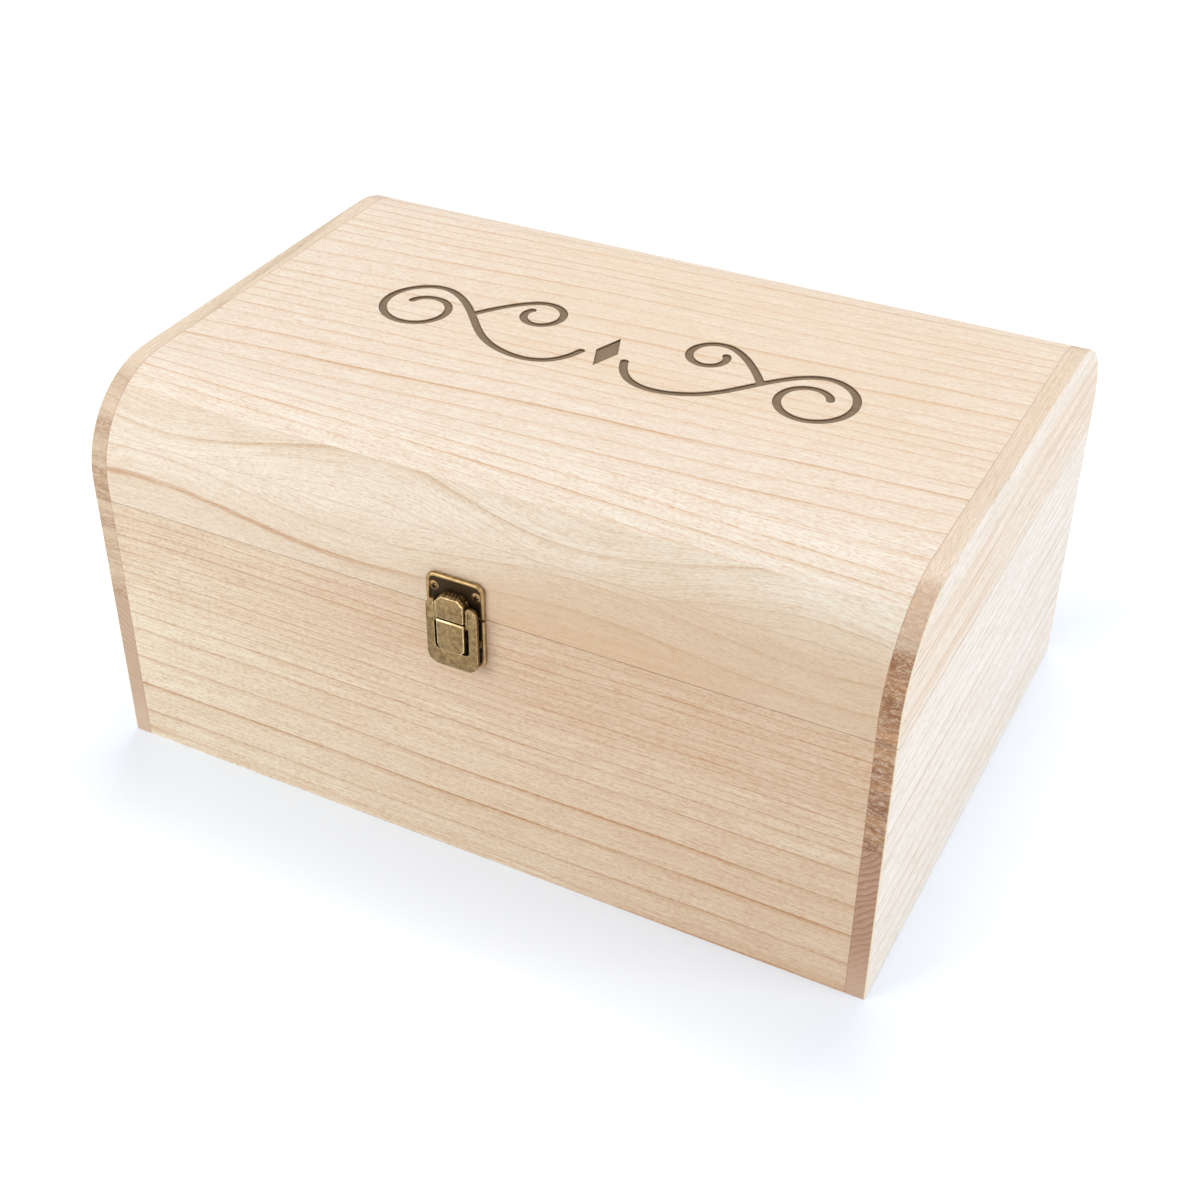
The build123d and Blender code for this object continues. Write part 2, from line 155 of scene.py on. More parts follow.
def paulownia(
    name,
    grain,
    figure,
    tones,
    seed,
    line_sharpness=18.0,
    glow_share=0.15,
    ring_weight=1.0,
    fibre_rate=42.0,
    warmth=None,
    marks=(),
    burnt_cut_and_shade=None,
):
    """Bare sanded paulownia.

    grain is 0 for boards along X and 1 for boards from front to back. figure works out how many
    rings lie between a point and the middle of the tree, and how far its grain bends. tones are
    pale wood, the second tone that drifts through it, the line that ends each ring, end grain,
    and the bands in end grain. seed moves the pattern on to another board's. line_sharpness says
    how thin each line is, glow_share how dark the wood before it, ring_weight how strongly the
    rings show, and fibre_rate how often fibres start and stop. warmth gives the share of the
    second tone by place, and marks are colours laid over one place each. The last argument
    describes a burnt cut: the height of its floor, two browns for the floor, and one dark brown
    for its walls, which is painted shade inside the cut.
    """
    pale, second, line_tone, end_tone, end_band = tones
    material, surface, wire = new_material(name)
    axes, turned = wire.axes("Object"), wire.axes("Normal")
    along, across, up = axes[grain], axes[1 - grain], axes[2]
    lengthwise = turned[grain]

    # End grain shows where a face looks along the board, and fades where it rolls over.
    tilt = (1.0 - lengthwise * lengthwise).math("MAXIMUM", 0.0) ** 0.5
    end = 1.0 - tilt.ease(0.57, 0.65, 0.0, 0.5) - tilt.ease(0.93, 1.0, 0.0, 0.5)

    # Rings: pale early wood that darkens to a thin line, sharp on its outer side. Each year has
    # its own strength, and the line comes and goes along the board.
    wave = wire.noise(along * 5.0 + seed, across * 11.0, up * 11.0, 1.5)
    ripple = wire.noise(along * 26.0 + seed, across * 60.0, up * 60.0, 1.0)
    ring, bend = figure(along, across, up, wave * 0.006 + ripple * 0.0005)
    year = ring.math("FLOOR")
    season = ring.math("FRACT")
    strength = (year * 0.618 + seed).math("FRACT") * 0.7 + 0.45
    comes_and_goes = wire.noise(along * 17.0 + year * 3.7, year * 1.9, seed, 2.0)
    drawn = strength * comes_and_goes.ease(-0.22, 0.2, 0.5, 1.0)
    line = season**line_sharpness * (1.0 - season.ease(0.968, 0.998)) * 1.7
    glow = season**3.5 * (1.0 - season.ease(0.965, 1.0))
    faint = (ring * 3.236 + wave * 2.0 + 0.3).math("FRACT")
    faint_line = faint**6.0 * (1.0 - faint.ease(0.94, 1.0)) * comes_and_goes.ease(-0.1, 0.25)

    # Fibres and pores run with the grain. Across the end they are dots and short wavy lines.
    side, level = across + bend, up + bend
    fibre = wire.noise(along * fibre_rate, side * 1500.0, level * 1500.0, 3.0, 0.7)
    dash = wire.noise(along * fibre_rate * 11.0, side * 2400.0, level * 2400.0, 1.0)
    dash = dash.ease(-0.08, 0.2)
    curl = (across * 5000.0 + up * 1500.0 + fibre * 4.0).math("COSINE") * 0.0002
    squiggle = wire.noise(along * 300.0, across * 380.0, (up + curl) * 2000.0, 2.0, 0.6)

    drift = wire.noise(along * 2.3 + seed, across * 20.0, up * 20.0, 3.0, 0.55)
    share = drift.ease(-0.2, 0.2)
    if warmth:
        share = share * 0.5 + warmth(axes, turned) * 0.7
    tone = share.tint(pale, second)
    ring_share = (line * (0.9 + dash * 0.6) + glow * glow_share) * drawn + faint_line * 0.28
    tone = (ring_share * ring_weight).tint(tone, line_tone)
    tone = (fibre.ease(-0.16, 0.18, 0.0, 0.30) + dash * 0.32).tint(tone, line_tone)
    band = wire.noise(along * 3.0, across * 10.0 + seed, up * 150.0 + across * 8.0, 4.0, 0.7)
    end_wood = end * squiggle.ease(-0.04, 0.10, 1.0, 0.55)
    tone = end_wood.tint(tone, band.ease(-0.12, 0.12).tint(end_tone, end_band))
    for mark, mark_tone in marks:
        tone = mark(axes, turned).tint(tone, mark_tone)
    rough = 0.52 + 0.16 * fibre - 0.05 * glow
    height = fibre * 0.6 - dash * 0.4 - line * 0.3 - end * squiggle * 0.6

    # A burnt cut is brown up to the face it is cut in. Its walls are darker still: painted shade
    # inside the cut. The limits to front and back and below keep the brown off the shoulders and
    # the board's underside.
    if burnt_cut_and_shade:
        cut_floor, dark, light, wall_shade_tone = burnt_cut_and_shade
        cut = 1.0 - up.ease(cut_floor + 0.0001, cut_floor + 0.0007)
        cut = cut * (1.0 - abs(across).ease(0.074, 0.076))
        cut = cut * up.ease(cut_floor - 0.0012, cut_floor - 0.0008)
        tone = cut.tint(tone, (fibre * 1.6 + 0.5).tint(dark, light))
        tone = (cut * (1.0 - abs(turned[2]).ease(0.5, 0.9))).tint(tone, wall_shade_tone)
        rough = rough + cut * 0.15

    lead_in(surface, tone, rough, height, 0.0001)
    surface.inputs["Specular IOR Level"].default_value = 0.45
    return material


def dress(material, *names):
    """Give CAD nodes one material."""
    for name in names:
        mesh = nodes[name].data
        mesh.materials.clear()
        mesh.materials.append(material)


def level_rings(along, across, up, wander):
    """Wide rings low on the wall, and narrow ones in the 50 mm under the seam."""
    bend = wander - along * 0.007
    height = up + bend + (across - wall) * 0.4
    return height / 0.0155 + height.ease(0.062, 0.128, 0.0, 9.5), bend


def redder_and_painted_shade_to_the_right(axes, turned):
    """Redder and darker to the right and higher up; the darkening to the right is painted shade."""
    return axes[0].ease(-0.18, 0.17) * 0.6 + axes[2].ease(0.070, 0.115) * 0.75


def crowded_lines(axes, turned):
    """Fine brown lines crowd along the bottom edge."""
    x, y, z = axes
    height = abs(z - 0.0035 + x * 0.008)
    lines = z.noise(x * 15.0, 0.0, z * 2200.0, 2.0, 0.6).ease(-0.08, 0.14)
    return height.ease(0.0005, 0.005, 0.6, 0.0) * lines


front_tones = (
    screen(255, 249, 227),
    screen(230, 207, 180),
    screen(189, 134, 82),
    screen(172, 134, 102),
    screen(150, 112, 82),
)
front_wood = paulownia(
    "front_wall_wood",
    0,
    level_rings,
    front_tones,
    seed=0.3,
    warmth=redder_and_painted_shade_to_the_right,
    marks=((crowded_lines, screen(206, 156, 112)),),
)
dress(front_wood, "base_front_panel")

# ---------------------------------------------------------------- front rail of the lid
# The same wood, cut nearer to the middle of the tree: a pale flame between two long arches. It is
# laminated from two strips before it is rounded, and the joint shows as a fine level line.
strip_height = 0.1543
glue_tone = screen(176, 132, 100)


def arch_wave(x):
    """The wave, from -1 to 1, that the arches follow along the rail."""
    return ((x + 0.05) * 33.0).math("COSINE")


def arched_rings(along, across, up, wander):
    """A flame below the joint of the strips and a row of arches above it."""
    upper = up.ease(strip_height - 0.0001, strip_height + 0.0001)
    bend = wander * 1.2 + (upper * -0.0048 + (1.0 - upper) * 0.0036) * arch_wave(along)
    height = up + bend
    return height / 0.0105 + upper * 0.37 - height.ease(0.12, 0.140) * 1.2, bend


def warm_near_the_seam(axes, turned):
    """Tan wood spreads up from the seam, and higher towards the right."""
    x, y, z = axes
    height = z - x.ease(-0.05, 0.12) * 0.018
    return (1.0 - height.ease(0.127, 0.150)) * (0.45 + x.ease(-0.10, 0.06) * 0.8)


def tan_patch(axes, turned):
    """A wide tan ring lies just above the seam, to the right of the latch."""
    x, y, z = axes
    along_it = x.ease(-0.005, 0.025) * (1.0 - x.ease(0.085, 0.14))
    height = z - x * 0.02 + x.noise(x * 14.0, y, z * 40.0) * 0.006
    streaks = x.noise(x * 9.0, y, z * 700.0, 3.0, 0.7).ease(-0.2, 0.15, 0.25, 1.0)
    return along_it * (1.0 - height.ease(0.126, 0.145)) * streaks * 0.45


def brown_streak(axes, turned):
    """A brown ring that dips from the left end and dies out before the latch."""
    x, y, z = axes
    streak_height = 0.1374
    dip = arch_wave(x) * 0.0045
    off = abs(z + dip + x.noise(x * 20.0, y, z * 60.0) * 0.002 - streak_height)
    patchy = x.noise(x * 60.0, 0.0, z * 900.0, 3.0, 0.7).ease(-0.2, 0.1)
    return off.ease(0.0002, 0.0017, 0.75, 0.0) * patchy * (1.0 - x.ease(-0.07, -0.005))


def strip_joint(axes, turned):
    """The glue line between the two strips."""
    return abs(axes[2] - strip_height).ease(0.0, 0.0003, 0.3, 0.0)


rail_tones = (
    screen(252, 245, 230),
    screen(229, 206, 179),
    screen(204, 168, 128),
    screen(176, 138, 106),
    screen(150, 112, 82),
)
front_rail_wood = paulownia(
    "front_rail_wood",
    0,
    arched_rings,
    rail_tones,
    seed=0.15,
    line_sharpness=15.0,
    glow_share=0.1,
    ring_weight=0.6,
    warmth=warm_near_the_seam,
    marks=(
        (tan_patch, screen(216, 172, 126)),
        (brown_streak, screen(196, 148, 104)),
        (strip_joint, glue_tone),
    ),
)
dress(front_rail_wood, "lid_front_rail")

# ---------------------------------------------------------------- back wall and back rail
# The back is made as the front is, of the same bare paulownia, and glued between the ends. Its
# board is plainer, with even rings that run on from the wall to the rail.


def back_rings(along, across, up, wander):
    """Even rings, tilted a little along the box."""
    bend = wander * 1.2 - along * 0.012
    return (up + bend + across * 0.3) / 0.0118, bend


back_wood = paulownia("back_wood", 0, back_rings, front_tones, seed=4.1)
dress(back_wood, "base_back_panel", "lid_back_rail")

# ---------------------------------------------------------------- top board
# One wide board lies on both rails between the ends. Its rings part like a fan near the front. A
# scroll is burnt into it, so the floor of the cut is burnt brown; its walls are darker still, as
# painted shade inside the cut.
lid_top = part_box("lid_top_board")[1][2]
engraving_depth = 0.0008


def fanned_rings(along, across, up, wander):
    """Lines that climb to the right, but fall to the right on the front round."""
    fan = across.ease(-0.096, -0.070, -0.045, 0.045)
    bend = wander * 1.5 - along * fan
    crowding = (across * 75.0 + 1.0).math("SINE") * 0.55
    return (across + bend + (up - 0.176) * 0.35) / 0.0088 + crowding, bend


def pale_on_the_round(axes, turned):
    """The second tone comes in from the front round towards the flat of the lid."""
    return axes[1].ease(-0.105, -0.050)


def tan_cloud(axes, turned):
    """The heart of the board is tan, from its middle to the back and off to the right."""
    x, y, z = axes
    across_it = y.ease(-0.050, -0.010) * (1.0 - y.ease(0.070, 0.125) * 0.6)
    along_it = x.ease(-0.150, -0.020) * (1.0 - x.ease(0.110, 0.175) * 0.6)
    cloud = x.noise(x * 7.0, y * 45.0, 0.0, 3.0, 0.6).ease(-0.2, 0.2, 0.35, 1.0)
    return across_it * along_it * cloud * 0.4


top_tones = (
    screen(253, 245, 232),
    screen(253, 241, 225),
    screen(212, 164, 112),
    screen(176, 138, 106),
    screen(150, 112, 82),
)
# Two browns for the burnt floor of the cut, and a darker brown for its walls: painted shade.
scorch_and_shade_tones = (screen(112, 90, 66), screen(158, 134, 106), screen(62, 46, 34))
top_wood = paulownia(
    "top_board_wood",
    0,
    fanned_rings,
    top_tones,
    seed=0.2,
    line_sharpness=12.0,
    glow_share=0.18,
    ring_weight=0.8,
    warmth=pale_on_the_round,
    marks=((tan_cloud, screen(238, 207, 170)),),
    burnt_cut_and_shade=(lid_top - engraving_depth, *scorch_and_shade_tones),
)
dress(top_wood, "lid_top_board")

# ---------------------------------------------------------------- end boards
# The end boards run from front to back. Their front edges show end grain, which turns to long
# grain where the shoulder rolls over, and a fine line of glue shows where the long boards meet
# them. Each is glued up from two planks, so the lower one has its own tone.
plank_height = 0.0750
end_inner_face = 0.1666
end_outer_face = 0.1750


def end_rings(along, across, up, wander):
    """Wide rings low on the boards and narrower ones above the seam."""
    bend = wander * 0.8 + along * 0.012
    height = up + bend + across * 0.12
    upper_plank = up.ease(plank_height - 0.0001, plank_height + 0.0001)
    return height / 0.0098 + height.ease(0.110, 0.165, 0.0, 4.0) + upper_plank * 0.43, bend


def tan_edges_and_painted_light_on_sides(axes, turned):
    """The edges are tan all along, and the outer faces only in a streak above the seam."""
    streak = axes[2].ease(0.116, 0.134) * (1.0 - axes[2].ease(0.160, 0.172) * 0.6)
    # Faces turned to the side are kept pale by the way they face: painted light, for the strong
    # light on the sides of the box.
    return 0.85 - abs(turned[0]) + streak * 0.8


def tan_lines(axes, turned):
    """Fine tan lines crowd together on the outer faces, above the seam."""
    x, y, z = axes
    lines = y.noise(y * 7.0, 0.0, z * 1000.0 + y * 12.0, 3.0, 0.7).ease(0.0, 0.16)
    by_height = z.ease(0.120, 0.132) * z.ease(0.148, 0.168, 0.6, 0.2)
    return lines * abs(turned[0]) * by_height


def lower_plank(axes, turned):
    """The end grain of the lower plank is greyer."""
    front = abs(turned[1]).ease(0.3, 0.9)
    return front * (1.0 - axes[2].ease(plank_height - 0.0002, plank_height + 0.0002)) * 0.85


def slanting_rings(axes, turned):
    """Narrow rings rise outwards across the end grain of the lower plank."""
    x, y, z = axes
    bend = z.noise(x * 90.0, 0.0, z * 90.0) * 0.006
    ring = ((z + bend - abs(x) * 0.8) / 0.0034).math("FRACT")
    return lower_plank(axes, turned) * ring**2.5 * z.ease(0.0, 0.06, 0.3, 0.95)


def pale_foot(axes, turned):
    """The end grain is paler in the last 30 mm above the floor."""
    return lower_plank(axes, turned) * (1.0 - axes[2].ease(0.0, 0.03)) * 0.6


def plank_joint(axes, turned):
    """The glue line on top of the lower plank."""
    return abs(axes[2] - plank_height - 0.0002).ease(0.0001, 0.0006, 0.35, 0.0)


def end_joint(axes, turned):
    """The glue line where the long boards meet the end board."""
    return abs(abs(axes[0]) - end_inner_face).ease(0.0001, 0.0007, 0.45, 0.0)


def corner_painted_highlight(axes, turned):
    """A painted highlight along the long outer corners, which are rounded by a touch of paper."""
    corner = abs(axes[0]).ease(end_outer_face - 0.0008, end_outer_face - 0.0004)
    return corner * 0.9 * abs(turned[1]).ease(0.1, 0.4)


for hand, end_tone, end_band, lower_tone, seed in (
    ("left", screen(210, 186, 156), screen(180, 146, 114), screen(204, 176, 151), 0.45),
    ("right", screen(192, 143, 100), screen(146, 99, 63), screen(192, 154, 130), 0.80),
):
    # The near white pale is partly painted light, for the strong light that falls on the outer
    # faces.
    face_tones = (screen(255, 255, 253), screen(247, 226, 203), screen(198, 170, 136))
    end_wood = paulownia(
        f"{hand}_end_wood",
        1,
        end_rings,
        (*face_tones, end_tone, end_band),
        seed,
        fibre_rate=20.0,
        warmth=tan_edges_and_painted_light_on_sides,
        marks=(
            (tan_lines, screen(214, 166, 114)),
            (lower_plank, lower_tone),
            (slanting_rings, end_band),
            (pale_foot, screen(226, 200, 176)),
            (plank_joint, glue_tone),
            (end_joint, glue_tone),
            (corner_painted_highlight, screen(255, 246, 222)),
        ),
    )
    dress(end_wood, f"base_{hand}_end", f"lid_{hand}_end")

# ---------------------------------------------------------------- bottom board
# A thin board of the same wood, let in flush underneath. It is glued into a rebate that runs
# round the feet of the walls and the end boards.


def bottom_rings(along, across, up, wander):
    """Rings side by side across the board, as in a plank cut flat."""
    bend = wander * 2.0 + along * 0.02
    return (across + bend) / 0.012, bend


dress(paulownia("bottom_wood", 0, bottom_rings, front_tones, seed=6.0), "bottom_board")

# ---------------------------------------------------------------- latch plate and strike plate
# Two stamped brass plates, screwed to the front on either side of the seam. Each has a beaded rim
# on every side but the one at the seam, and a sunk field that is dark near the wall: partly patina
# with age and partly painted shade.
MM = 0.001

# Sizes and places in millimetres.
plate_half_width = 12.7
plate_corner = 4.0
field_half_width = 12.4
field_corner = 3.7
field_front = -125.9
bead_radius = 0.95
bead_depth = 0.65  # from the wood to the middle of the bead
latch_bottom, latch_top = 101.7, 124.5
strike_bottom, strike_top = 125.6, 140.6
ear_near, ear_far = 6.3, 7.3
ear_foot = 118.5
ear_front = -128.9
pivot_y, pivot_z = -128.6, 129.0
knuckle_radius = 1.4
nose_half_width = 6.0
nose_front = -131.0
nose_bottom, nose_top = 124.0, 134.0
nose_corner = 2.4
rib_half_width = 0.4


def aged_brass(name, low, high, tones, roughness=0.36, off_centre=None):
    """Brass that is dark down to one height off the wall, and rubbed from another height up.

    tones are the dark of the recesses, the brown of the flats and the yellow where it is rubbed.
    The dark near the wall is partly patina in the hollows and partly painted shade. off_centre
    measures sideways and up from a screw's middle, so its cross recess can be painted dark:
    painted shade.
    """
    recess, brown, rubbed = tones
    material, surface, wire = new_material(name)
    x, y, z = wire.axes("Object")
    raised = abs(y) + wall
    cloud = wire.noise(x * 520.0, y * 520.0, z * 520.0, 3.0, 0.6)
    speck = wire.noise(x * 2600.0, y * 2600.0, z * 2600.0, 2.0, 0.6)
    tone = (cloud * 2.1 + speck * 1.1 + 0.5).tint(brown, rubbed)
    bare = (raised + cloud * 0.0005).ease(low, high)
    # A screw's cross recess is painted near black by place: painted shade.
    if off_centre:
        sideways, upright = off_centre(x, z)
        beside_cross = sideways.math("MINIMUM", upright).ease(0.00034, 0.00044)
        past_cross = sideways.math("MAXIMUM", upright).ease(0.0009, 0.00105)
        bare = bare * beside_cross.math("MAXIMUM", past_cross)
    tone = bare.tint(recess, tone)
    rough = roughness + 0.16 * cloud + 0.18 * speck + 0.2 * (1.0 - bare)
    lead_in(surface, tone, rough, speck + cloud * 0.6, 0.00005)
    surface.inputs["Metallic"].default_value = 1.0
    return material


# The first tone of each is the dark near the wall: patina and painted shade.
latch_tones = (screen(66, 52, 38), screen(106, 84, 56), screen(168, 142, 100))
edge_tones = (screen(110, 88, 60), screen(194, 162, 112), screen(244, 220, 170))
rim_tones = (screen(92, 72, 48), screen(134, 108, 72), screen(194, 164, 116))
latch_brass = aged_brass("latch_brass", 0.0009, 0.0019, latch_tones)
edge_brass = aged_brass("rubbed_edge_brass", -0.0006, 0.0012, edge_tones, 0.27)
rim_brass = aged_brass("rim_brass", -0.0025, 0.0012, rim_tones, 0.34)


def pick(*pieces):
    """Select some pieces and nothing else, and make the first one active."""
    bpy.ops.object.select_all(action="DESELECT")
    for piece in pieces:
        piece.select_set(True)
    bpy.context.view_layer.objects.active = pieces[0]


def block(name, low, high):
    """Add a block between two corners, given in millimetres."""
    bpy.ops.object.select_all(action="DESELECT")
    middle = [(low[axis] + high[axis]) / 2 * MM for axis in range(3)]
    bpy.ops.mesh.primitive_cube_add(size=1.0, location=middle)
    piece = bpy.context.object
    piece.name = name
    piece.scale = [(high[axis] - low[axis]) * MM for axis in range(3)]
    bpy.ops.object.transform_apply()
    return piece


def bar(name, middle, radius, length, corners=24):
    """Add a round bar along X, with its sizes in millimetres."""
    bpy.ops.object.select_all(action="DESELECT")
    bpy.ops.mesh.primitive_cylinder_add(
        vertices=corners,
        radius=radius * MM,
        depth=length * MM,
        location=[value * MM for value in middle],
        rotation=(0.0, math.pi / 2, 0.0),
    )
    piece = bpy.context.object
    piece.name = name
    bpy.ops.object.transform_apply()
    return piece


def front_to_back(height=None):
    """Make a test for edges that run front to back, at one height or at any."""

    def test(a, b):
        return abs(a.y - b.y) > 0.05 and (height is None or abs((a.z + b.z) / 2 - height) < 0.1)

    return test


def left_to_right(height, front=None):
    """Make a test for edges along X, at one height and, if it is given, at one place along Y."""

    def test(a, b):
        at_height = abs(a.z - height) < 0.1 and abs(b.z - height) < 0.1
        return abs(a.x - b.x) > 0.5 and at_height and (front is None or abs(a.y - front) < 0.1)

    return test


def round_corners(piece, test, radius, segments=8):
    """Round the edges of a piece whose two ends pass a test, all in millimetres."""
    pick(piece)
    bpy.context.tool_settings.mesh_select_mode = (False, True, False)
    mesh = piece.data
    for items in (mesh.vertices, mesh.edges, mesh.polygons):
        for item in items:
            item.select = False
    for edge in mesh.edges:
        edge.select = test(*[mesh.vertices[index].co / MM for index in edge.vertices])
    bpy.ops.object.mode_set(mode="EDIT")
    bpy.ops.mesh.bevel(offset=radius * MM, segments=segments, affect="EDGES")
    bpy.ops.object.mode_set(mode="OBJECT")


def rub_edges(piece, width, metal=(latch_brass, edge_brass)):
    """Give a piece its metal, and a fine bright bevel along each sharp edge."""
    for material in metal:
        piece.data.materials.append(material)
    pick(piece)
    bevel = piece.modifiers.new("rubbed edges", "BEVEL")
    bevel.width = width * MM
    bevel.segments = 2
    bevel.limit_method = "ANGLE"
    bevel.angle_limit = math.radians(50)
    bevel.material = 1
    bpy.ops.object.modifier_apply(modifier=bevel.name)
    bpy.ops.object.shade_smooth_by_angle(angle=math.radians(38))


def put_together(name, *parts):
    """Join parts into the first one."""
    pick(*parts)
    bpy.ops.object.join()
    piece = bpy.context.object
    piece.name = name
    return piece


def beaded_rim(name, seam_edge, far_edge):
    """Sweep a bead up one side of a plate, round its two far corners and down the other side."""
    up = 1 if far_edge > seam_edge else -1
    corner_height = far_edge - plate_corner * up
    corner_place = plate_half_width - plate_corner
    bead_place = (bead_radius - plate_half_width) * MM
    bpy.ops.object.select_all(action="DESELECT")
    bpy.ops.mesh.primitive_circle_add(
        vertices=14,
        radius=bead_radius * MM,
        fill_type="NGON",
        location=(bead_place, wall - bead_depth * MM, seam_edge * MM),
    )
    rim = bpy.context.object
    rim.name = name
    bpy.ops.object.transform_apply()
    bpy.ops.object.mode_set(mode="EDIT")
    bpy.ops.mesh.select_all(action="SELECT")
    side_run = (corner_height - seam_edge) * MM
    far_run = 2 * corner_place * MM
    runs = (
        ((0, 0, side_run), -corner_place),
        ((far_run, 0, 0), corner_place),
        ((0, 0, -side_run), None),
    )
    for run, corner_x in runs:
        bpy.ops.mesh.extrude_region_move(TRANSFORM_OT_translate={"value": run})
        if corner_x is not None:
            bpy.ops.mesh.spin(
                steps=8,
                angle=math.radians(-90) * up,
                center=(corner_x * MM, wall, corner_height * MM),
                axis=(0, 1, 0),
            )
    bpy.ops.mesh.select_all(action="SELECT")
    bpy.ops.mesh.remove_doubles(threshold=0.00001)
    bpy.ops.mesh.normals_make_consistent(inside=False)
    bpy.ops.object.mode_set(mode="OBJECT")
    rim.data.materials.append(rim_brass)
    bpy.ops.object.shade_smooth_by_angle(angle=math.radians(40))
    return rim


def stamped_plate(name, seam_edge, far_edge):
    """Make a plate's field and its rim. The sides of the field have the metal of the rim."""
    bottom, top = sorted((seam_edge, far_edge))
    low, high = (-field_half_width, field_front, bottom), (field_half_width, wall / MM, top)
    field = block(f"{name}_field", low, high)
    round_corners(field, front_to_back(far_edge), field_corner)
    for metal in (latch_brass, rim_brass):
        field.data.materials.append(metal)
    for face in field.data.polygons:
        face.material_index = int(abs(face.normal.y) < 0.5)
    return field, beaded_rim(f"{name}_rim", seam_edge, far_edge)


strike_field, strike_rim = stamped_plate("strike", strike_bottom, strike_top)
latch_field, latch_rim = stamped_plate("latch", latch_top, latch_bottom)

# Two ears stand on the latch plate and hold the pins of the lever.
ears = []
for side in (-1, 1):
    near, far = sorted((side * ear_near, side * ear_far))
    root = block("ear_root", (near, ear_front, ear_foot), (far, -125.2, latch_top))
    round_corners(root, left_to_right(ear_foot, ear_front), 2.6)
    head_top = pivot_z + knuckle_radius
    head_front, head_back = pivot_y - knuckle_radius, pivot_y + knuckle_radius
    head = block("ear_head", (near, head_front, 121.5), (far, head_back, head_top))
    round_corners(head, left_to_right(head_top), 1.35)
    ears += [root, head]
for ear in ears:
    rub_edges(ear, 0.12)
latch_plate = put_together("latch_plate_stamped", latch_field, latch_rim, *ears)
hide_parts("latch_plate")
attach(latch_plate, "base")

# The strike plate carries the nose that the tongue presses under. Its roof is ribbed.
left, right = -nose_half_width, nose_half_width
nose = block("nose", (left, nose_front, nose_bottom), (right, -127.2, nose_top))
nose_root = block("nose_root", (left, -127.3, 125.7), (right, -125.8, nose_top))
for part, rubbed_width in ((nose, 0.3), (nose_root, 0.05)):
    round_corners(part, front_to_back(nose_top), nose_corner, 1)
    rub_edges(part, rubbed_width)
rib_places = [(x, nose_top) for x in (-3.0, -1.5, 0.0, 1.5, 3.0)]
for side in (-1, 1):
    for down in (0.0, 0.9):
        rib_places.append((side * (4.0 + down), nose_top - 0.4 - down))
ribs = []
for x, z in rib_places:
    left, right = x - rib_half_width, x + rib_half_width
    rib = block("rib", (left, -130.2, z - 0.5), (right, field_front, z + 0.28))
    rub_edges(rib, 0.22, (latch_brass, latch_brass))
    ribs.append(rib)
strike_parts = (strike_field, strike_rim, nose, nose_root, *ribs)
strike_plate = put_together("strike_plate_stamped", *strike_parts)
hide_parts("strike_plate")
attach(strike_plate, "lid")

# ---------------------------------------------------------------- latch lever
# A flat brass ring, open at the top, whose arms end in knuckles on the pins. A thick tongue with a
# rolled upper edge is riveted to its foot. Sizes and places are in millimetres.
ring_half_width = 11.15
ring_front, ring_back = -129.9, -128.3
ring_bottom, ring_top = 101.0, 131.0
gap_half_width = 7.55
gap_bottom = 108.5
tongue_bottom, tongue_top = 109.0, 123.0

left, right = -ring_half_width, ring_half_width
ring = block("ring", (left, ring_front, ring_bottom), (right, ring_back, ring_top))
round_corners(ring, front_to_back(ring_bottom), 5.0)
round_corners(ring, front_to_back(ring_top), 3.5, 6)
gap = block("ring_gap", (-gap_half_width, -131, gap_bottom), (gap_half_width, -127, 136))
round_corners(gap, front_to_back(gap_bottom), 2.0)
pick(ring)
cut = ring.modifiers.new("open the ring", "BOOLEAN")
cut.operation = "DIFFERENCE"
cut.object = gap
bpy.ops.object.modifier_apply(modifier=cut.name)
bpy.data.objects.remove(gap)
rub_edges(ring, 0.4)
knuckles = [bar("knuckle", (side * 8.7, pivot_y, pivot_z), knuckle_radius, 2.2) for side in (-1, 1)]
for knuckle in knuckles:
    rub_edges(knuckle, 0.15)
latch_ring = put_together("latch_ring_bar", ring, *knuckles)
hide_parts("latch_ring")
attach(latch_ring, "latch_lever")

left, right = -nose_half_width, nose_half_width
tongue = block("tongue", (left, nose_front, tongue_bottom), (right, -128, tongue_top))
round_corners(tongue, front_to_back(tongue_bottom), 3.0)
round_corners(tongue, left_to_right(tongue_top, nose_front), 0.9, 5)
rub_edges(tongue, 0.4)
lip = bar("lip", (0, -130.25, 122.3), 0.75, 11.7, 16)
rub_edges(lip, 0.1, (edge_brass, edge_brass))
tab = block("tab", (-4.5, ring_back, 104.5), (4.5, -127.4, 110.5))
rub_edges(tab, 0.15)
latch_tongue = put_together("latch_tongue_plate", tongue, lip, tab)
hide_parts("latch_tongue")
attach(latch_tongue, "latch_lever")

# ---------------------------------------------------------------- screws and pins
# Small oval-headed brass screws with a cross recess hold the plates and the hinges to the wood.
# Plain brass pins carry the lever and the lid. The CAD shapes stay.

# Places in millimetres: heights above the floor, distances from the middle of the latch or of a
# hinge, and the distance of each hinge from the middle of the box.
strike_screw_height, latch_screw_height = 134.4, 113.0
latch_screw_reach = 9.2
hinge_reach = 105.0
hinge_z = 125.0
hinge_screw_reach, hinge_screw_rise = 8.5, 9.5


def from_latch_screw(x, z):
    """How far a point lies beside and above or below the nearest screw of the latch."""
    off_strike, off_latch = abs(z - strike_screw_height * MM), abs(z - latch_screw_height * MM)
    return abs(abs(x) - latch_screw_reach * MM), off_strike.math("MINIMUM", off_latch)


def from_hinge_screw(x, z):
    """How far a point lies beside and above or below the nearest screw of a hinge."""
    off_middle, off_axis = abs(abs(x) - hinge_reach * MM), abs(z - hinge_z * MM)
    return abs(off_middle - hinge_screw_reach * MM), abs(off_axis - hinge_screw_rise * MM)


